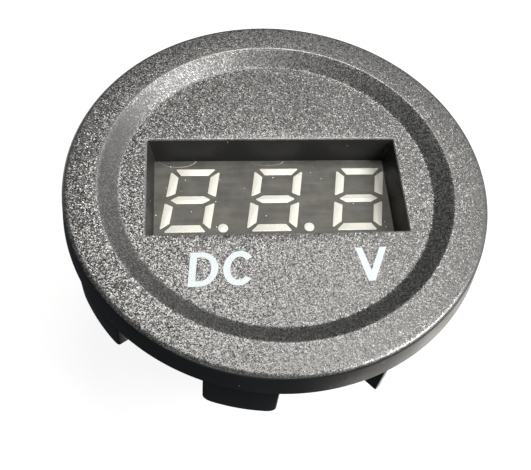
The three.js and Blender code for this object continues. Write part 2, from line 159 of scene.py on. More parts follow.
def finish_mesh(mesh, weld=1e-4):
    """Joins doubled vertices and turns every face outwards."""
    work = bmesh.new()
    work.from_mesh(mesh)
    bmesh.ops.remove_doubles(work, verts=work.verts, dist=weld)
    bmesh.ops.recalc_face_normals(work, faces=work.faces)
    work.to_mesh(mesh)
    work.free()
    return mesh


def skin(name, loops):
    """A closed skin over loops that have the same number of points, the last joined to the first."""
    count = len(loops[0])
    faces = []
    for i in range(len(loops)):
        a, b = i * count, (i + 1) % len(loops) * count
        for j in range(count):
            k = (j + 1) % count
            faces.append((a + j, a + k, b + k, b + j))
    mesh = bpy.data.meshes.new(name)
    mesh.from_pydata([point for loop in loops for point in loop], [], faces)
    return finish_mesh(mesh)


def turned(name, profile, segments=180):
    """A closed (radius, height) profile turned about Z."""
    loops = []
    for radius, height in profile:
        loops.append([(x, y, height) for x, y in circle(radius, count=segments)])
    return skin(name, loops)


def turned_corners(name, corners, steps=4, segments=180):
    """A body turned about Z from corners of (radius, depth, corner radius)."""
    profile = [(radius, at(depth), corner) for radius, depth, corner in corners]
    return turned(name, rounded(profile, steps), segments)


def plate(name, outlines, low, high, edge=0.0):
    """A flat plate: the first outline is its rim and the others are holes or further islands."""
    curve = bpy.data.curves.new(name, "CURVE")
    curve.dimensions = "2D"
    curve.fill_mode = "BOTH"
    curve.extrude = (high - low) / 2 - edge
    curve.bevel_depth = edge
    curve.bevel_resolution = 1
    curve.offset = -edge
    for outline in outlines:
        spline = curve.splines.new("POLY")
        spline.points.add(len(outline) - 1)
        for point, (x, y) in zip(spline.points, outline):
            point.co = (x, y, 0, 1)
        spline.use_cyclic_u = True
    holder = add_object(name, curve)
    mesh = baked(holder, name)
    mesh.transform(Matrix.Translation((0, 0, (low + high) / 2)))
    bpy.data.objects.remove(holder)
    bpy.data.curves.remove(curve)
    return finish_mesh(mesh)


def joined(name, meshes):
    """One mesh holding several closed bodies."""
    work = bmesh.new()
    for mesh in meshes:
        work.from_mesh(mesh)
    whole = bpy.data.meshes.new(name)
    work.to_mesh(whole)
    work.free()
    return whole


def combined(name, body, tools, operation):
    """body with each tool cut from it ("DIFFERENCE") or joined to it ("UNION")."""
    target = add_object(name, body)
    helpers = []
    for i, tool in enumerate(tools):
        helper = add_object(f"{name}_tool_{i}", tool)
        helpers.append(helper)
        step = target.modifiers.new(helper.name, "BOOLEAN")
        step.operation = operation
        step.solver = "EXACT"
        step.object = helper
    mesh = baked(target, name)
    for holder in [target, *helpers]:
        bpy.data.objects.remove(holder)
    return mesh


def softened(mesh, edge, segments=2, angle=40):
    """mesh with its flat faces made whole and its edges rounded."""
    work = bmesh.new()
    work.from_mesh(mesh)
    bmesh.ops.remove_doubles(work, verts=work.verts, dist=1e-3)
    bmesh.ops.dissolve_limit(work, angle_limit=math.radians(1), verts=work.verts, edges=work.edges)
    sharp = [e for e in work.edges if e.is_manifold and e.calc_face_angle() > math.radians(angle)]
    bmesh.ops.bevel(work, geom=sharp, offset=edge, offset_type="OFFSET", segments=segments,
                    profile=0.5, affect="EDGES", clamp_overlap=True)
    bmesh.ops.recalc_face_normals(work, faces=work.faces)
    work.to_mesh(mesh)
    work.free()
    return mesh


def block(name, size, centre):
    """A plain box, used as a cutter or as the start of a rounded piece."""
    mesh = bpy.data.meshes.new(name)
    work = bmesh.new()
    bmesh.ops.create_cube(work, size=1)
    work.to_mesh(mesh)
    work.free()
    mesh.transform(Matrix.Translation(centre) @ Matrix.Diagonal((*size, 1)))
    return mesh


def bring_in(name, mesh, material, body="root"):
    """Brings a finished millimetre mesh into the scene, smooth except at its sharp edges."""
    mesh.transform(Matrix.Scale(MM, 4))
    mesh.shade_smooth()
    mesh.set_sharp_from_angle(angle=SHARP)
    mesh.materials.clear()
    mesh.materials.append(material)
    obj = add_object(name, mesh)
    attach(obj, body)
    return obj


def show(name, mesh, material, node, body="root"):
    """Brings in a mesh as the stand-in of a CAD node."""
    obj = bring_in(name, mesh, material, body)
    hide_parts(node)


# Material helpers ---------------------------------------------------------------------------------

def add_node(tree, kind, inputs=None, **settings):
    """A shader node whose inputs are given as values or as sockets to link."""
    made = tree.nodes.new(kind)
    for key, value in settings.items():
        setattr(made, key, value)
    for key, value in (inputs or {}).items():
        if isinstance(value, bpy.types.NodeSocket):
            tree.links.new(value, made.inputs[key])
        else:
            made.inputs[key].default_value = value
    return made


def maths(tree, operation, a, b=0.0):
    """One arithmetic step on values or sockets."""
    return add_node(tree, "ShaderNodeMath", {0: a, 1: b}, operation=operation).outputs[0]


def spread(tree, value, low, high, to_low=0.0, to_high=1.0):
    """value mapped from one range to another, and held at its ends."""
    inputs = {"Value": value, "From Min": low, "From Max": high, "To Min": to_low, "To Max": to_high}
    return add_node(tree, "ShaderNodeMapRange", inputs).outputs["Result"]


def blend_colours(tree, share, first, second):
    """The first colour where share is 0 and the second where it is 1."""
    made = add_node(tree, "ShaderNodeMix", data_type="RGBA")
    for socket, value in ((made.inputs[0], share), (made.inputs[6], first), (made.inputs[7], second)):
        if isinstance(value, bpy.types.NodeSocket):
            tree.links.new(value, socket)
        else:
            socket.default_value = value
    return made.outputs[2]


def vectors(tree, operation, a, b=(0.0, 0.0, 0.0)):
    """One arithmetic step on vectors."""
    return add_node(tree, "ShaderNodeVectorMath", {0: a, 1: b}, operation=operation).outputs["Vector"]


def length(tree, vector):
    return add_node(tree, "ShaderNodeVectorMath", {0: vector}, operation="LENGTH").outputs["Value"]


def stretched(tree, place, scale):
    """Coordinates scaled along each axis."""
    return add_node(tree, "ShaderNodeMapping", {"Vector": place, "Scale": scale}).outputs["Vector"]


def noise(tree, place, size, detail=2.0, roughness=0.5):
    """Soft noise whose bumps are about size millimetres across."""
    inputs = {"Vector": place, "Scale": 1 / (size * MM), "Detail": detail, "Roughness": roughness}
    return add_node(tree, "ShaderNodeTexNoise", inputs).outputs["Fac"]


def specks(tree, place, size, share, radius):
    """1 inside small spots of radius cells, in a share of the cells of about size millimetres."""
    inputs = {"Vector": place, "Scale": 1 / (size * MM)}
    cells = add_node(tree, "ShaderNodeTexVoronoi", inputs)
    lot = add_node(tree, "ShaderNodeSeparateColor", {"Color": cells.outputs["Color"]}).outputs[0]
    chosen = maths(tree, "LESS_THAN", lot, share)
    inside = spread(tree, cells.outputs["Distance"], radius * 0.6, radius, 1.0, 0.0)
    return maths(tree, "MULTIPLY", chosen, inside)


def start_material(name, roughness, uniform=None):
    """A principled material, its shader and object coordinates."""
    made = bpy.data.materials.new(name)
    made.use_nodes = True
    shader = made.node_tree.nodes["Principled BSDF"]
    shader.inputs["Roughness"].default_value = roughness
    for key, value in (uniform or {}).items():
        shader.inputs[key].default_value = value
    place = add_node(made.node_tree, "ShaderNodeTexCoord").outputs["Object"]
    return made, made.node_tree, shader, place


def set_bump(tree, shader, height, depth):
    """Raises the surface by height times depth, in millimetres."""
    bump = add_node(tree, "ShaderNodeBump", {"Height": height, "Distance": depth * MM})
    tree.links.new(bump.outputs["Normal"], shader.inputs["Normal"])


# Edge masks of the bezel: where it is worn and painted lighter as a highlight, and where its grain is calm
# and painted darker as shade, in millimetres and shares.
# The worn mask is partly real polish (lower roughness, calmer grain) and partly a painted highlight (lighter
# colour), stronger towards the rear.
WEAR_AND_HIGHLIGHT = {"near": 0.08, "window_far": 0.2, "step_far": 0.26, "front_y": -9, "rear_y": 3, "front": 0.15,
        "highlight_share": 0.5, "roughness": 0.24, "grain_left": 0.3}
# The calm mask is partly a calmer grain and partly painted shade (darker colour) on the step's slope and the
# rim's top edge.
CALM_AND_SHADE = {"slope_core": 0.6, "rim_past": 0.1, "rim_near": 0.3, "rim_far": 0.6,
        "shade_share": 0.4, "grain_left": 0.45}


def closeness(tree, distance, near, far):
    """1 where a distance in metres is under near millimetres, fading to 0 at far."""
    return spread(tree, maths(tree, "ABSOLUTE", distance), near * MM, far * MM, 1.0, 0.0)


def bezel_edges(tree, place):
    """Two masks: the handled edges of window and step, also painted lighter as a highlight, and the calmer
    surface of step and rim edge, also painted darker as shade.
    """
    axes = add_node(tree, "ShaderNodeSeparateXYZ", {"Vector": place}).outputs
    reach = length(tree, stretched(tree, place, (1, 1, 0)))

    def band(radius, near, far):
        return closeness(tree, maths(tree, "SUBTRACT", reach, radius * MM), near, far)

    across = maths(tree, "ABSOLUTE", maths(tree, "SUBTRACT", axes[0], WINDOW["x"] * MM))
    past_x = maths(tree, "SUBTRACT", across, WINDOW["half_w"] * MM)
    past_y = maths(tree, "SUBTRACT", maths(tree, "ABSOLUTE", axes[1]), WINDOW["half_h"] * MM)
    window = closeness(tree, maths(tree, "MAXIMUM", past_x, past_y), WEAR_AND_HIGHLIGHT["near"], WEAR_AND_HIGHLIGHT["window_far"])
    # Painted highlight on the step's outer edge: strongest at the rear, fading to the front share at the
    # front.
    rear = spread(tree, axes[1], WEAR_AND_HIGHLIGHT["front_y"] * MM, WEAR_AND_HIGHLIGHT["rear_y"] * MM, WEAR_AND_HIGHLIGHT["front"], 1.0)
    step = band(DISH["outer"] + WEAR_AND_HIGHLIGHT["near"], WEAR_AND_HIGHLIGHT["near"], WEAR_AND_HIGHLIGHT["step_far"])
    worn_and_highlit = maths(tree, "MAXIMUM", window, maths(tree, "MULTIPLY", step, rear))
    # Painted shade: the step's slope and the rim's top edge are darkened.
    half = (DISH["outer"] - DISH["inner"]) / 2
    slope = band(DISH["inner"] + half, half * CALM_AND_SHADE["slope_core"], half)
    rim = band(RIM["top"] + CALM_AND_SHADE["rim_past"], CALM_AND_SHADE["rim_near"], CALM_AND_SHADE["rim_far"])
    return worn_and_highlit, maths(tree, "MAXIMUM", slope, rim)


def grained_plastic(name, dark, light, grain, tilt, roughness=(0.3, 0.5), gloss=0.5, edges=None):
    """Black moulding from a spark-eroded tool: packed facets of about grain millimetres.

    Each facet leans its own way by up to tilt, and has its own tone and roughness; the few lighter facets
    are partly painted glints. edges makes two masks:
    where handling has polished the grain away and a painted highlight lightens the colour, and where the
    grain is calmer and painted shade darkens the colour.
    """
    made, tree, shader, place = start_material(name, roughness[0], {"Specular IOR Level": gloss})
    facets = add_node(tree, "ShaderNodeTexVoronoi", {"Vector": place, "Scale": 1 / (grain * MM)})
    lot = facets.outputs["Color"]
    lots = add_node(tree, "ShaderNodeSeparateColor", {"Color": lot}).outputs
    broad = spread(tree, noise(tree, place, 9, detail=3), 0.35, 0.65, 0.75, 1.0)
    # A few facets get a lighter tone: partly the grain's random tone, partly painted glints.
    few_light = maths(tree, "POWER", lots[0], 2.5)
    colour = blend_colours(tree, maths(tree, "MULTIPLY", few_light, broad), dark, light)
    rough = spread(tree, lots[1], 0.0, 1.0, *roughness)
    lean = tilt
    if edges:
        worn_and_highlit, calm_and_shaded = edges(tree, place)
        patchy = spread(tree, noise(tree, place, 2.5, detail=4), 0.35, 0.6, 0.55, 1.0)
        worn_and_highlit = maths(tree, "MULTIPLY", worn_and_highlit, patchy)
        # Painted shade: darker colour where the calm mask is.
        colour = blend_colours(tree, maths(tree, "MULTIPLY", calm_and_shaded, CALM_AND_SHADE["shade_share"]), colour, dark)
        # Painted highlight: lighter colour along the worn edges.
        colour = blend_colours(tree, maths(tree, "MULTIPLY", worn_and_highlit, WEAR_AND_HIGHLIGHT["highlight_share"]), colour, light)
        mix = {0: worn_and_highlit, 2: rough, 3: WEAR_AND_HIGHLIGHT["roughness"]}
        rough = add_node(tree, "ShaderNodeMix", mix, data_type="FLOAT").outputs[0]
        lean = spread(tree, worn_and_highlit, 0.0, 1.0, tilt, tilt * WEAR_AND_HIGHLIGHT["grain_left"])
        lean = maths(tree, "MULTIPLY", lean, spread(tree, calm_and_shaded, 0.0, 1.0, 1.0, CALM_AND_SHADE["grain_left"]))
    dust = specks(tree, place, 0.9, share=0.012, radius=0.1)
    colour = blend_colours(tree, dust, colour, (0.7, 0.7, 0.66, 1))
    tree.links.new(colour, shader.inputs["Base Color"])
    tree.links.new(rough, shader.inputs["Roughness"])
    centred = vectors(tree, "SUBTRACT", lot, (0.5, 0.5, 0.5))
    swing = add_node(tree, "ShaderNodeVectorMath", {0: centred, "Scale": lean}, operation="SCALE")
    straight = add_node(tree, "ShaderNodeNewGeometry").outputs["Normal"]
    leaned = vectors(tree, "NORMALIZE", vectors(tree, "ADD", straight, swing.outputs["Vector"]))
    tree.links.new(leaned, shader.inputs["Normal"])
    return made


def plain_plastic(name, dark, light, roughness=(0.35, 0.5), grain=0.12, depth=0.006, dusty=0.02):
    """Smoother moulding with a faint texture, flow marks and a little dust."""
    made, tree, shader, place = start_material(name, roughness[0])
    fine = noise(tree, place, grain, detail=2)
    cloud = noise(tree, place, 4.0, detail=4)
    dust = specks(tree, place, 0.7, share=dusty, radius=0.09)
    colour = blend_colours(tree, cloud, dark, light)
    colour = blend_colours(tree, dust, colour, (0.45, 0.45, 0.43, 1))
    tree.links.new(colour, shader.inputs["Base Color"])
    tree.links.new(spread(tree, cloud, 0.3, 0.7, *roughness), shader.inputs["Roughness"])
    set_bump(tree, shader, fine, depth)
    return made


def metal(name, dark, light, roughness=(0.2, 0.38)):
    """Plated or bare metal with fine drawing lines along Z and slight tarnish."""
    made, tree, shader, place = start_material(name, roughness[0], {"Metallic": 1.0})
    drawn = noise(tree, stretched(tree, place, (1, 1, 0.06)), 0.08, detail=2)
    tarnish = noise(tree, place, 2.2, detail=4, roughness=0.6)
    tree.links.new(blend_colours(tree, tarnish, dark, light), shader.inputs["Base Color"])
    tree.links.new(spread(tree, tarnish, 0.3, 0.7, *roughness), shader.inputs["Roughness"])
    set_bump(tree, shader, drawn, 0.003)
    return made


# Materials ----------------------------------------------------------------------------------------

BEZEL_PLASTIC = grained_plastic(
    "bezel_plastic", (0.01, 0.01, 0.01, 1), (0.115, 0.115, 0.112, 1), grain=0.088, tilt=0.38,
    roughness=(0.28, 0.42), gloss=0.9, edges=bezel_edges)
SIDE_PLASTIC = plain_plastic("rim_side_plastic", (0.006, 0.006, 0.006, 1), (0.012, 0.012, 0.0115, 1),
                             roughness=(0.32, 0.45), depth=0.02)
WALL_PLASTIC = plain_plastic("window_wall_plastic", (0.006, 0.006, 0.006, 1), (0.013, 0.013, 0.0125, 1),
                             depth=0.014, dusty=0.08)
LEG_PLASTIC = plain_plastic("leg_plastic", (0.003, 0.003, 0.003, 1), (0.006, 0.006, 0.006, 1))
HOUSING_PLASTIC = grained_plastic(
    "housing_plastic", (0.02, 0.02, 0.021, 1), (0.06, 0.06, 0.061, 1), grain=0.14, tilt=0.25)
BASE_PLASTIC = grained_plastic(
    "base_plastic", (0.026, 0.026, 0.026, 1), (0.07, 0.07, 0.068, 1), grain=0.14, tilt=0.25)
CHIP_PLASTIC = grained_plastic(
    "chip_plastic", (0.012, 0.012, 0.013, 1), (0.03, 0.03, 0.031, 1), grain=0.08, tilt=0.15)
TANTALUM = plain_plastic("tantalum_body", (0.52, 0.32, 0.045, 1), (0.62, 0.4, 0.07, 1))
CERAMIC = plain_plastic("ceramic_body", (0.42, 0.31, 0.17, 1), (0.5, 0.38, 0.22, 1), grain=0.05)
RESISTOR = plain_plastic("resistor_film", (0.01, 0.01, 0.014, 1), (0.02, 0.02, 0.026, 1), (0.2, 0.35))
TRIMMER_BODY = plain_plastic("trimmer_body", (0.02, 0.085, 0.36, 1), (0.03, 0.11, 0.42, 1))
ROTOR_PLASTIC = plain_plastic("rotor_plastic", (0.72, 0.71, 0.66, 1), (0.82, 0.81, 0.77, 1))
TINNED = metal("tinned_metal", (0.62, 0.62, 0.63, 1), (0.78, 0.78, 0.79, 1))
SCREW_STEEL = metal("screw_steel", (0.5, 0.51, 0.53, 1), (0.68, 0.69, 0.7, 1))
BRASS = metal("terminal_brass", (0.62, 0.42, 0.16, 1), (0.78, 0.58, 0.26, 1))


def make_gasket_rubber():
    """Dull black rubber with a soft cloudy bloom."""
    made, tree, shader, place = start_material("gasket_rubber", 0.7)
    cloud = noise(tree, place, 1.2, detail=4)
    colour = blend_colours(tree, cloud, (0.012, 0.012, 0.012, 1), (0.028, 0.028, 0.027, 1))
    tree.links.new(colour, shader.inputs["Base Color"])
    tree.links.new(spread(tree, cloud, 0.3, 0.7, 0.65, 0.85), shader.inputs["Roughness"])
    set_bump(tree, shader, noise(tree, place, 0.1), 0.01)
    return made


def make_circuit_board():
    """Green solder mask over a faint grid of copper tracks, with the glass weave under it."""
    made, tree, shader, place = start_material("circuit_board", 0.3, {"Coat Weight": 0.3})
    axes = add_node(tree, "ShaderNodeSeparateXYZ", {"Vector": place}).outputs
    radians_per_metre = 9000.0
    warp, weft = (maths(tree, "SINE", maths(tree, "MULTIPLY", axis, radians_per_metre)) for axis in axes[:2])
    weave = maths(tree, "MULTIPLY", warp, weft)
    tracks = add_node(tree, "ShaderNodeTexBrick", {
        "Vector": place, "Color1": (0, 0, 0, 1), "Color2": (0, 0, 0, 1), "Mortar": (1, 1, 1, 1),
        "Scale": 1.0, "Mortar Size": 0.16 * MM, "Brick Width": 3.1 * MM, "Row Height": 1.6 * MM})
    copper = add_node(tree, "ShaderNodeSeparateColor", {"Color": tracks.outputs["Color"]}).outputs[0]
    colour = blend_colours(tree, copper, (0.008, 0.075, 0.025, 1), (0.025, 0.16, 0.05, 1))
    tree.links.new(colour, shader.inputs["Base Color"])
    tree.links.new(spread(tree, noise(tree, place, 1.5), 0.3, 0.7, 0.25, 0.4), shader.inputs["Roughness"])
    height = maths(tree, "ADD", copper, maths(tree, "MULTIPLY", weave, 0.1))
    set_bump(tree, shader, height, 0.03)
    return made


def scratch_arc(tree, place, centre, half_w, half_h):
    """A hairline along the lower half of an ellipse, given in millimetres, fainter at its left end."""
    offset = vectors(tree, "SUBTRACT", place, (centre[0] * MM, centre[1] * MM, 0))
    unit = stretched(tree, offset, (1 / (half_w * MM), 1 / (half_h * MM), 0))
    off_line = maths(tree, "ABSOLUTE", maths(tree, "SUBTRACT", length(tree, unit), 1.0))
    line = spread(tree, off_line, 0.008, 0.035, 0.7, 0.0)
    axes = add_node(tree, "ShaderNodeSeparateXYZ", {"Vector": unit}).outputs
    line = maths(tree, "MULTIPLY", line, maths(tree, "LESS_THAN", axes[1], 0.0))
    return maths(tree, "MULTIPLY", line, spread(tree, axes[0], -0.9, 0.5, 0.1, 0.85))


SCRATCHES = [{"centre": (-8.8, 4.85), "half_w": 1.75, "half_h": 0.85},
             {"centre": (-0.4, 4.6), "half_w": 1.5, "half_h": 0.45}]


def make_display_face():
    """Dark warm grey lacquer, slightly cloudy, with wipe marks, dust and fine curved scratches."""
    made, tree, shader, place = start_material("display_face", 0.55, {"Specular IOR Level": 0.3})
    cloud = noise(tree, place, 1.6, detail=5, roughness=0.65)
    streaks = noise(tree, stretched(tree, place, (0.12, 1, 1)), 0.5, detail=3)
    tone = maths(tree, "ADD", maths(tree, "MULTIPLY", cloud, 0.6), maths(tree, "MULTIPLY", streaks, 0.4))
    colour = blend_colours(tree, spread(tree, tone, 0.35, 0.65), (0.029, 0.028, 0.024, 1),
                           (0.067, 0.065, 0.057, 1))
    marks = specks(tree, place, 0.45, share=0.13, radius=0.13)
    for scratch in SCRATCHES:
        marks = maths(tree, "MAXIMUM", marks, scratch_arc(tree, place, **scratch))
    colour = blend_colours(tree, marks, colour, (0.55, 0.55, 0.51, 1))
    tree.links.new(colour, shader.inputs["Base Color"])
    tree.links.new(spread(tree, tone, 0.35, 0.65, 0.5, 0.62), shader.inputs["Roughness"])
    set_bump(tree, shader, tone, 0.004)
    return made


def make_segment_resin():
    """Milky cream resin that lets a little light in."""
    made, tree, shader, place = start_material(
        "segment_resin", 0.32, {"Subsurface Weight": 0.25, "Subsurface Scale": 0.0006})
    cloud = noise(tree, place, 0.9, detail=3)
    colour = blend_colours(tree, cloud, (0.365, 0.355, 0.32, 1), (0.41, 0.4, 0.362, 1))
    tree.links.new(colour, shader.inputs["Base Color"])
    tree.links.new(spread(tree, cloud, 0.3, 0.7, 0.28, 0.42), shader.inputs["Roughness"])
    set_bump(tree, shader, noise(tree, place, 0.3), 0.006)
    return made


def make_print_ink():
    """White pad-print ink, which follows the grain under it."""
    made, tree, shader, place = start_material("print_ink", 0.65)
    fine = noise(tree, place, 0.17, detail=3, roughness=0.6)
    thin = spread(tree, fine, 0.3, 0.42, 0.75, 0.0)
    colour = blend_colours(tree, thin, (0.335, 0.372, 0.378, 1), (0.24, 0.27, 0.275, 1))
    tree.links.new(colour, shader.inputs["Base Color"])
    set_bump(tree, shader, fine, 0.03)
    return made


GASKET_RUBBER = make_gasket_rubber()
CIRCUIT_BOARD = make_circuit_board()
DISPLAY_FACE = make_display_face()
SEGMENT_RESIN = make_segment_resin()
PRINT_INK = make_print_ink()


# Bezel --------------------------------------------------------------------------------------------

def make_stations(short=36, long=110, corner=5, slack=math.radians(1.6)):
    """Shared places round the bezel: (side, share along it or None, corner step, direction).

    Rectangular and round loops use the same places, so that a corner of the window always meets the
    same points of a circle.
    """
    diagonal = math.atan2(WINDOW["half_h"], WINDOW["half_w"])
    places = []
    for side in range(4):
        middle = side * math.pi / 2
        reach = (diagonal if side % 2 == 0 else math.pi / 2 - diagonal) - slack
        count = short if side % 2 == 0 else long
        for i in range(count):
            angle = reach * (2 * i / (count - 1) - 1)
            places.append((side, math.tan(angle) / math.tan(reach), 0, middle + angle))
        for i in range(1, corner):
            places.append((side, None, i / corner, middle + reach + 2 * slack * i / corner))
    return places


STATIONS = make_stations()


def ring(radius, depth):
    """A circle at the shared places."""
    return [(radius * math.cos(a), radius * math.sin(a), at(depth)) for *_, a in STATIONS]


def box_ring(half_w, half_h, corner, depth, x=0.0, y=0.0):
    """A round-cornered rectangle at the shared places."""
    loop = []
    for side, share, step, _ in STATIONS:
        out = Vector((math.cos(side * math.pi / 2), math.sin(side * math.pi / 2)))
        along = Vector((-out.y, out.x))
        reach, half = (half_w, half_h) if side % 2 == 0 else (half_h, half_w)
        if share is not None:
            point = out * reach + along * share * (half - corner)
        else:
            turn = step * math.pi / 2
            point = out * (reach - corner) + along * (half - corner)
            point += (out * math.cos(turn) + along * math.sin(turn)) * corner
        loop.append((x + point.x, y + point.y, at(depth)))
    return loop


def between(first, second, shares):
    """Loops part of the way from one loop to another."""
    return [[tuple(Vector(a).lerp(Vector(b), s)) for a, b in zip(first, second)] for s in shares]


def make_bezel():
    """One closed skin: up the window's walls, over the face, down the rim and back underneath."""
    w, f = WINDOW, WINDOW["edge_round"]
    sink = w["depth"] - DISH["depth"]
    loops = []
    for share in (0.0, 0.25, 0.5, 0.75, 1 - f / sink):
        grow = 1 - share
        loops.append(box_ring(w["half_w"] - w["taper_x"] * grow, w["half_h"] - w["taper_y"] * grow,
                              w["corner"], w["depth"] - sink * share, w["x"]))
    for step in (1, 2, 3):
        turn = step / 3 * math.pi / 2
        out, up = f * (1 - math.cos(turn)), f * (1 - math.sin(turn))
        loops.append(box_ring(w["half_w"] + out, w["half_h"] + out, w["corner"] + out,
                              DISH["depth"] + up, w["x"]))
    profile = rounded([
        (DISH["inner"], DISH["depth"], DISH["inner_round"]), (DISH["outer"], 0, DISH["outer_round"]),
        (RIM["top"], 0, RIM["top_round"]), (RIM["base"], RIM["depth"], RIM["base_round"]),
        (0, RIM["depth"], 0), (0, DISH["depth"], 0)], steps=6)[:-2]
    loops += between(loops[-1], ring(*profile[0]), (0.12, 0.3, 0.5, 0.7, 0.88))
    loops += [ring(radius, depth) for radius, depth in profile]
    inner_w, inner_h = MODULE_HALF.x + POCKET["gap"], MODULE_HALF.y + POCKET["gap"]
    outer_w, outer_h = inner_w + POCKET["wall"], inner_h + POCKET["wall"]
    base, foot, edge, lead = POCKET["depth"], POCKET["foot"], POCKET["edge"], POCKET["lead"]
    # The display's pocket under the face: half width, half height, corner radius and depth of its loops.
    pocket = [
        (outer_w + foot, outer_h + foot, 0.8, RIM["depth"]),
        (outer_w, outer_h, 0.6, RIM["depth"] + foot),
        (outer_w, outer_h, 0.6, base - edge),
        (outer_w - edge, outer_h - edge, 0.5, base),
        (inner_w + lead, inner_h + lead, 0.4, base),
        (inner_w, inner_h, 0.3, base - lead),
        (inner_w, inner_h, 0.3, w["depth"]),
    ]
    loops += [box_ring(*size, MODULE.x, MODULE.y) for size in pocket]
    mesh = skin("bezel_moulding", loops)
    show("bezel_moulding", mesh, BEZEL_PLASTIC, "bezel")
    mesh.materials.append(WALL_PLASTIC)
    mesh.materials.append(SIDE_PLASTIC)
    wall, side = 1, 2
    wall_top, side_from = at(DISH["depth"] + f) * MM, (RIM["top"] - RIM["side_lap"]) * MM
    for face in mesh.polygons:
        looks_down = face.normal.z < -0.8
        if looks_down or math.hypot(face.center.x, face.center.y) > side_from:
            face.material_index = side
        elif face.center.z < wall_top:
            face.material_index = wall


# Snap legs and locating rib -----------------------------------------------------------------------

def make_leg_mesh():
    """A leg on the +X side: a slab with rounded lower corners and a barb, bent to the rim's curve."""
    half, low, top = LEG["width"] / 2, at(LEG["depth"]), at(RIM["depth"]) + LEG["bury"]
    corners = [(-half, top, 0), (-half, low, LEG["corner"]), (half, low, LEG["corner"]), (half, top, 0)]
    thick = LEG["outer"] - LEG["inner"]
    slab = plate("leg_slab", [rounded(corners, 6)], -thick, 0)
    inside, barb_top = -thick + LEG["barb_bury"], at(LEG["barb_top"])
    barb_low = at(LEG["barb_top"] + LEG["barb_height"])
    wedge = [(inside, barb_top), (-thick - LEG["barb_reach"], barb_top), (inside, barb_low)]
    barb = plate("leg_barb", [wedge], -LEG["barb_width"] / 2, LEG["barb_width"] / 2)
    # Exchanging X and Z mirrors the barb, so its faces are turned outwards again.
    barb.transform(Matrix(((0, 0, 1, 0), (0, 1, 0, 0), (1, 0, 0, 0), (0, 0, 0, 1))))
    mesh = softened(combined("leg", slab, [finish_mesh(barb)], "UNION"), LEG["edge"], 3)
    work = bmesh.new()
    work.from_mesh(mesh)
    cuts = 16
    for i in range(1, cuts):
        place = half * (2 * i / cuts - 1)
        bmesh.ops.bisect_plane(work, geom=[*work.verts, *work.edges, *work.faces],
                               plane_co=(place, 0, 0), plane_no=(1, 0, 0))
    for vert in work.verts:
        across, height, depth = vert.co
        vert.co = (math.sqrt((LEG["outer"] + depth) ** 2 - across ** 2), across, height)
    bmesh.ops.recalc_face_normals(work, faces=work.faces)
    work.to_mesh(mesh)
    work.free()
    return mesh


def make_legs():
    """Seven of eight equal places hold a leg; the rib is a thin fin turned about its outer edge."""
    leg = make_leg_mesh()
    for place in LEG["places"]:
        mesh = leg.copy()
        mesh.transform(Matrix.Rotation(math.radians(LEG["first"] + place * LEG["step"]), 4, "Z"))
        name = f"snap_leg_{place + 1}"
        show(f"{name}_moulding", mesh, LEG_PLASTIC, name)
    low, top = at(RIB["depth"]), at(RIM["depth"]) + RIB["bury"]
    size = (RIB["length"], RIB["thickness"], top - low)
    fin = softened(block("rib", size, (-RIB["length"] / 2, 0, (low + top) / 2)), RIB["edge"], 3)
    fin.transform(Matrix.Rotation(math.radians(RIB["tilt"]), 4, "Z"))
    fin.transform(Matrix.Translation((RIB["outer"], 0, 0)))
    fin.transform(Matrix.Rotation(math.radians(RIB["angle"]), 4, "Z"))
    show("locating_rib_moulding", fin, LEG_PLASTIC, "locating_rib")


# Display ------------------------------------------------------------------------------------------

def segment_outlines(gap=0.0):
    """The seven segments about a digit's centre, upright, drawn in by gap all round."""
    d, g = DIGIT, gap
    w, h = d["half_w"], d["half_h"]
    inner_w, inner_h = w - d["bar_x"], h - d["bar_y"]
    tip, root = w - d["bar_tip"] - g, inner_w - d["bar_root"] - g
    bar = [(-tip, h - g), (tip, h - g), (root, inner_h + g), (-root, inner_h + g)]
    post = [(w - g, h - d["post_tip"] - g), (w - g, d["post_end"] + g),
            (inner_w + g, d["post_root_end"] + g), (inner_w + g, inner_h - d["post_root"] - g)]
    tip, flank, m = d["middle_tip"] - g, d["middle_flank"], d["middle"] - g
    middle = [(-tip, 0), (-flank, m), (flank, m), (tip, 0), (flank, -m), (-flank, -m)]
    shapes = [bar, [(x, -y) for x, y in bar], middle]
    for sx, sy in ((1, 1), (-1, 1), (1, -1), (-1, -1)):
        shapes.append([(x * sx, y * sy) for x, y in post])
    return shapes


def placed_outlines(digit, gap=0.0):
    """A digit's segments and point, slanted, rounded and moved to their place."""
    last = DIGIT["count"] - 1
    x0, y0 = MODULE.x + (digit - last / 2) * DIGIT["pitch"], MODULE.y + DIGIT["lift"]
    placed = []
    for shape in segment_outlines(gap):
        corners = [(x0 + x + y * DIGIT["slant"], y0 + y, DIGIT["corner"]) for x, y in shape]
        placed.append(rounded(corners, 3))
    if digit < last:
        placed.append(circle(POINT["radius"] - gap, x0 + POINT["x"], y0 + POINT["y"]))
    return placed


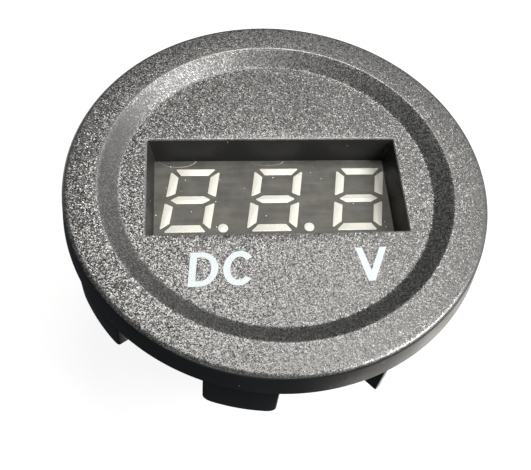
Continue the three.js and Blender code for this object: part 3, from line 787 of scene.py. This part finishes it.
def make_display():
    """The dark face with an aperture for each segment, its skirt, and the resin in the apertures."""
    face_top, face_low = at(WINDOW["depth"]), at(WINDOW["depth"] + DIGIT["thickness"])
    x, y = MODULE.x, MODULE.y

    def box(inset, corner):
        a, b = MODULE_HALF.x - inset, MODULE_HALF.y - inset
        return rounded([(x - a, y - b, corner), (x + a, y - b, corner), (x + a, y + b, corner),
                        (x - a, y + b, corner)])

    digits = range(DIGIT["count"])
    outer = box(0, SKIRT["corner"])
    holes = [outline for digit in digits for outline in placed_outlines(digit)]
    face = plate("face", [outer, *holes], face_low, face_top)
    skirt = plate("skirt", [outer, box(SKIRT["wall"], SKIRT["inner_corner"])], SHELL_LOW.z, face_low)
    housing = joined("display_housing", [face, skirt])
    show("display_housing", housing, DISPLAY_FACE, "display_shell")
    for digit in digits:
        segments = []
        for outline in placed_outlines(digit, DIGIT["clearance"]):
            top = face_top - DIGIT["sunk"]
            segments.append(plate("segment", [outline], face_low, top, edge=DIGIT["edge"]))
        show(f"digit_{digit + 1}_segments", joined("digit", segments), SEGMENT_RESIN,
             f"digit_guide_{digit + 1}")


# Unit marks ---------------------------------------------------------------------------------------

LETTER = {"height": 3.2, "stroke": 0.58, "slant": 0.11, "tilt": math.radians(0.85), "lift": 0.03,
          "baseline": (-8.03, -10.1), "d_shift": 0, "c_shift": 2.8, "v_shift": 15.2,
          "d_width": 2.4, "d_bend": 0.95, "d_bar": 0.85, "c_width": 2.62, "c_past": 0.03, "c_bar": 0.87,
          "c_outer_mouth": 38, "c_inner_mouth": 42, "c_steps": 32,
          "v_half": 1.36, "v_inner": 0.75, "v_foot": 0.29, "v_notch": 0.98}


def arc(x, y, rx, ry, start, end, steps=20):
    """Points of an ellipse's arc, with its ends given in degrees."""
    angles = [math.radians(start + (end - start) * i / steps) for i in range(steps + 1)]
    return [(x + rx * math.cos(a), y + ry * math.sin(a)) for a in angles]


def letter_d():
    """The outer and inner edge of a D. Its level strokes are thinner than the upright one."""
    h, s, width, bend = LETTER["height"], LETTER["stroke"], LETTER["d_width"], LETTER["d_bend"]
    t = s * LETTER["d_bar"]
    outer = [(0, 0), *arc(bend, h / 2, width - bend, h / 2, -90, 90), (0, h)]
    inner = [(s, t), *arc(bend, h / 2, width - bend - s, h / 2 - t, -90, 90), (s, h - t)]
    return [outer, inner]


def letter_c():
    """An open ring: its outer edge one way round and its inner edge back."""
    h, s, half, steps = LETTER["height"], LETTER["stroke"], LETTER["c_width"] / 2, LETTER["c_steps"]
    out, back = LETTER["c_outer_mouth"], LETTER["c_inner_mouth"]
    outer = arc(half, h / 2, half, h / 2 + LETTER["c_past"], out, 360 - out, steps)
    inner = arc(half, h / 2, half - s, h / 2 - s * LETTER["c_bar"], 360 - back, back, steps)
    return [outer + inner]


def letter_v():
    """Two strokes that meet in a foot."""
    h, half, thin = LETTER["height"], LETTER["v_half"], LETTER["v_inner"]
    foot, notch = LETTER["v_foot"], LETTER["v_notch"]
    return [[(-half, h), (-foot, 0), (foot, 0), (half, h), (thin, h), (0, notch), (-thin, h)]]


def make_marks():
    """Generic unit marks, DC and V, as a thin layer of ink on the sunk face."""
    x0, y0 = LETTER["baseline"]
    tilt = Matrix.Rotation(LETTER["tilt"], 2)
    face = at(DISH["depth"])
    for name, outlines, shift in (("mark_d", letter_d(), LETTER["d_shift"]),
                                  ("mark_c", letter_c(), LETTER["c_shift"]),
                                  ("mark_v", letter_v(), LETTER["v_shift"])):
        moved = []
        for outline in outlines:
            points = [tilt @ Vector((x + shift + y * LETTER["slant"], y)) for x, y in outline]
            moved.append([(x0 + p.x, y0 + p.y) for p in points])
        bring_in(name, plate(name, moved, face - LETTER["lift"], face + LETTER["lift"]), PRINT_INK)


# Rear ---------------------------------------------------------------------------------------------

def make_rear():
    """Sealing gasket, and the rear housing with its two screw posts."""
    g, h = GASKET, HOUSING
    gasket = turned_corners("gasket", [
        (g["inner"], g["bottom"], g["edge"]), (g["outer"], g["bottom"], g["edge"]),
        (g["outer"], RIM["depth"], g["edge"]), (g["inner"], RIM["depth"], g["edge"])])
    show("gasket_ring", gasket, GASKET_RUBBER, "sealing_gasket")
    edge = h["edge"]
    shell = turned_corners("housing", [
        (h["hole"], h["bottom"], 0), (h["nose"], h["bottom"], edge * 3), (h["barrel"], h["taper"], edge * 4),
        (h["barrel"], h["groove_end"], edge), (h["groove"], h["groove_end"], edge),
        (h["groove"], h["groove_top"], edge), (h["barrel"], h["groove_top"], edge),
        (h["barrel"], h["seat"], h["fillet"]), (h["flange"], h["seat"], edge),
        (h["flange"], h["collar_end"], edge), (h["collar"], h["collar_end"], edge),
        (h["collar"], h["top"], edge), (h["mouth"], h["top"], edge), (h["mouth"], h["mouth_end"], edge),
        (h["bore"], h["mouth_end"], edge), (h["bore"], h["bore_end"], 0.4),
        (h["floor"], h["floor_top"], 0.3), (h["hole"], h["floor_top"], 0)], 3)
    posts = []
    for side in (-1, 1):
        post = turned_corners("post", [
            (POST["hole"], POST["hole_end"], 0), (POST["hole"], POST["top"], 0),
            (POST["radius"], POST["top"], 0), (POST["radius"], POST["bottom"], 0),
            (0, POST["bottom"], 0), (0, POST["hole_end"], 0)], segments=48)
        post.transform(Matrix.Translation((side * POST["x"], 0, 0)))
        posts.append(post)
    housing = combined("housing", shell, posts, "UNION")
    show("housing_moulding", housing, HOUSING_PLASTIC, "rear_housing")


def make_base():
    """Terminal base: a floor with slots for the blades inside a shroud ring."""
    b, p, stands = BASE, POLARITY, TOP
    body = turned_corners("base", [
        (0, b["floor"], 0), (b["well"], b["floor"], 0.3), (b["well"], stands, 0.1),
        (b["outer"], stands, 0.4), (b["outer"], b["shoulder"], 0.1), (b["neck"], b["shoulder"], 0),
        (b["neck"], b["top"], 0.1), (0, b["top"], 0)], 3)
    floor, top = at(b["floor"]), at(b["top"])
    minus = [(p["short"], p["long"])]
    plus = [*minus, (p["long"], p["short"])]
    for side, strokes in ((-1, minus), (1, plus)):
        centre = (side * p["x"], 0, floor - p["drop"])
        bars = [softened(block("mark", (w, d, p["height"]), centre), p["edge"]) for w, d in strokes]
        body = combined("base", body, bars, "UNION")
    cutters = [block("slot", BLADE["slot"], (side * BLADE["x"], 0, floor)) for side in (-1, 1)]
    reach, low, high = ACCESS["radius"], floor - 2, top + 1
    access = turned("access", [(0, low), (reach, low), (reach, high), (0, high)], 64)
    access.transform(Matrix.Translation((0, ACCESS["y"], 0)))
    body = combined("base", body, [*cutters, access], "DIFFERENCE")
    show("base_moulding", body, BASE_PLASTIC, "terminal_base")


def make_blades():
    """Tab terminals with coined edges, a detent hole and bevelled tips."""
    wide, narrow, cut = BLADE["half_w"], BLADE["half_narrow"], BLADE["tip_cut"]
    tip, shoulder, tail = at(BLADE["tip"]), at(BLADE["shoulder"]), at(BLADE["tail"])
    by_tip, by = BLADE["tip_corner"], BLADE["corner"]
    outline = rounded([
        (-wide + cut, tip, by_tip), (wide - cut, tip, by_tip), (wide, tip + cut, by_tip),
        (wide, shoulder, by), (narrow, shoulder, by), (narrow, tail, by), (-narrow, tail, by),
        (-narrow, shoulder, by), (-wide, shoulder, by), (-wide, tip + cut, by_tip)], 3)
    hole = circle(BLADE["hole"], y=at(BLADE["hole_depth"]))
    upright = Matrix(((0, 0, 1, 0), (1, 0, 0, 0), (0, 1, 0, 0), (0, 0, 0, 1)))
    for name, side, material, slot in (("blade_terminal_negative", -1, TINNED, "tinned_metal"),
                                       ("blade_terminal_positive", 1, BRASS, "terminal_brass")):
        mesh = plate(name, [outline, hole], -BLADE["half_t"], BLADE["half_t"], edge=BLADE["edge"])
        mesh.transform(Matrix.Translation((side * BLADE["x"], 0, 0)) @ upright)
        show(f"{name}_tab", mesh, material, name)


# Inner pieces: the CAD shapes with rounded edges --------------------------------------------------

def refine(node, material, slot, edge, body="root"):
    """A CAD solid with its edges rounded, as its own stand-in."""
    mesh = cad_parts[node].data.copy()
    mesh.transform(Matrix.Scale(1 / MM, 4))
    show(f"{node}_body", softened(mesh, edge), material, node, body)


# Node, material, slot and edge radius.
INNER = [
    ("display_board", CIRCUIT_BOARD, "circuit_board", 0.03),
    ("main_board", CIRCUIT_BOARD, "circuit_board", 0.03),
    ("pin_row_front", TINNED, "tinned_metal", 0.05),
    ("pin_row_back", TINNED, "tinned_metal", 0.05),
    ("controller_chip", CHIP_PLASTIC, "chip_plastic", 0.06),
    ("voltage_regulator", CHIP_PLASTIC, "chip_plastic", 0.05),
    ("protection_diode", CHIP_PLASTIC, "chip_plastic", 0.08),
    ("tantalum_capacitor", TANTALUM, "tantalum_body", 0.08),
    ("filter_capacitor", CERAMIC, "ceramic_body", 0.05),
    ("bypass_capacitor", CERAMIC, "ceramic_body", 0.05),
    ("divider_resistor_high", RESISTOR, "resistor_film", 0.03),
    ("divider_resistor_low", RESISTOR, "resistor_film", 0.03),
    ("reference_resistor", RESISTOR, "resistor_film", 0.03),
    ("series_resistor", RESISTOR, "resistor_film", 0.03),
    ("trimmer_base", TRIMMER_BODY, "trimmer_body", 0.12),
    ("board_screw_1", SCREW_STEEL, "screw_steel", 0.08),
    ("board_screw_2", SCREW_STEEL, "screw_steel", 0.08),
]


# Stage --------------------------------------------------------------------------------------------

STAGE = {"floor_half": 1.5, "floor_gap": 0.00002, "floor_glow": 0.9, "dome_radius": 1.2, "dome_glow": 0.97}
WHITE = (1, 1, 1, 1)


def stage_piece(name, mesh, material):
    """A part of the set that only the camera sees, so that it sends no light back at the object."""
    mesh.materials.append(material)
    obj = add_object(name, mesh)
    obj.visible_diffuse = False
    obj.visible_glossy = False
    obj.visible_transmission = False
    obj.visible_shadow = False
    return obj


def make_set():
    """A pale floor that is clear from below, and a pale dome far behind it."""
    made, tree, shader, _ = start_material("floor", 0.9, {
        "Base Color": (0.12, 0.12, 0.12, 1), "Specular IOR Level": 0.0, "Emission Color": WHITE,
        "Emission Strength": STAGE["floor_glow"]})
    from_below = add_node(tree, "ShaderNodeNewGeometry").outputs["Backfacing"]
    clear = add_node(tree, "ShaderNodeBsdfTransparent").outputs[0]
    one_sided = add_node(tree, "ShaderNodeMixShader", {0: from_below, 1: shader.outputs[0], 2: clear})
    tree.links.new(one_sided.outputs[0], tree.nodes["Material Output"].inputs["Surface"])
    mesh = bpy.data.meshes.new("floor")
    half = STAGE["floor_half"]
    corners = [(-half, -half, 0), (half, -half, 0), (half, half, 0), (-half, half, 0)]
    mesh.from_pydata(corners, [], [(0, 1, 2, 3)])
    stage_piece("floor", mesh, made).location.z = cad_low.z - STAGE["floor_gap"]
    made = start_material("backdrop", 0.9, {
        "Base Color": (0, 0, 0, 1), "Emission Color": WHITE, "Emission Strength": STAGE["dome_glow"]})[0]
    mesh = bpy.data.meshes.new("backdrop")
    work = bmesh.new()
    bmesh.ops.create_icosphere(work, subdivisions=4, radius=STAGE["dome_radius"])
    work.to_mesh(mesh)
    work.free()
    stage_piece("backdrop", mesh, made)


# Name, direction from the object, distance, diameter, power and colour; in metres and watts.
LIGHTS = [
    ("key", (0.63, -0.26, 0.73), 0.3, 0.16, 1.75, (1.0, 0.99, 0.97)),
    ("top", (0.07, 0.27, 0.96), 0.35, 0.13, 0.88, (1.0, 0.97, 0.93)),
    ("bounce", (0.62, 0.02, -0.78), 0.15, 0.16, 0.13, (1.0, 0.96, 0.9)),
    ("front_fill", (-0.25, -0.96, 0.12), 0.5, 0.5, 0.5, (1, 1, 1)),
    ("back_fill", (-0.6, 0.76, -0.25), 0.5, 0.4, 0.5, (1, 1, 1)),
]


def add_light(name, direction, distance, size, power, colour):
    """A soft round light that shines at the middle of the object from a direction."""
    lamp = bpy.data.lights.new(name, "AREA")
    lamp.shape = "DISK"
    lamp.size = size
    lamp.energy = power
    lamp.color = colour
    obj = add_object(name, lamp)
    away = Vector(direction).normalized()
    obj.location = (cad_low + cad_high) / 2 + away * distance
    obj.rotation_euler = (-away).to_track_quat("-Z", "Y").to_euler()
    obj.visible_camera = False


SKY = {"towards": (0.8, 0.0, 0.6), "from": 0.2, "strength": 1.1,
       "dark": (0.045, 0.052, 0.06, 1), "bright": (1.05, 1.03, 1.0, 1)}


def make_world():
    """Soft light all round: bright high on the right, dark everywhere else."""
    world = bpy.data.worlds.new("studio")
    bpy.context.scene.world = world
    world.use_nodes = True
    tree = world.node_tree
    tree.nodes.clear()
    towards = add_node(tree, "ShaderNodeTexCoord").outputs["Generated"]
    facing = add_node(tree, "ShaderNodeVectorMath", {0: towards, 1: Vector(SKY["towards"]).normalized()},
                      operation="DOT_PRODUCT").outputs["Value"]
    share = add_node(tree, "ShaderNodeMapRange", {"Value": facing, "From Min": SKY["from"], "From Max": 1.0},
                     interpolation_type="SMOOTHSTEP").outputs["Result"]
    colour = blend_colours(tree, share, SKY["dark"], SKY["bright"])
    light = add_node(tree, "ShaderNodeBackground", {"Color": colour, "Strength": SKY["strength"]})
    add_node(tree, "ShaderNodeOutputWorld", {"Surface": light.outputs[0]})


# The place is from the middle of the rim's top face. The angles turn the camera from looking straight down:
# first its roll about its own axis, then the tilt, then the heading.
CAMERA = {"place": (-7.664, -39.699, 54.74), "heading": -10.3270, "tilt": 32.1219, "roll": 7.8473,
          "focal": 52.72, "sensor": 36, "clip_start": 0.001, "clip_end": 20}


def make_camera():
    """The camera of the photo's view."""
    lens = bpy.data.cameras.new("camera")
    lens.sensor_width = CAMERA["sensor"]
    lens.lens = CAMERA["focal"]
    lens.clip_start = CAMERA["clip_start"]
    lens.clip_end = CAMERA["clip_end"]
    obj = add_object("camera", lens)
    turn = Matrix.Identity(4)
    for angle, axis in (("heading", "Z"), ("tilt", "X"), ("roll", "Z")):
        turn = turn @ Matrix.Rotation(math.radians(CAMERA[angle]), 4, axis)
    rim_middle = Vector((0, 0, TOP))
    obj.matrix_world = Matrix.Translation((rim_middle + Vector(CAMERA["place"])) * MM) @ turn
    bpy.context.scene.camera = obj


make_camera()
make_set()
make_world()
for light in LIGHTS:
    add_light(*light)
bpy.context.scene.view_settings.view_transform = "Standard"

make_bezel()
make_legs()
make_display()
make_marks()
make_rear()
make_base()
make_blades()
for inner in INNER:
    refine(*inner)
refine("trimmer_rotor", ROTOR_PLASTIC, "rotor_plastic", 0.06, "rotor")
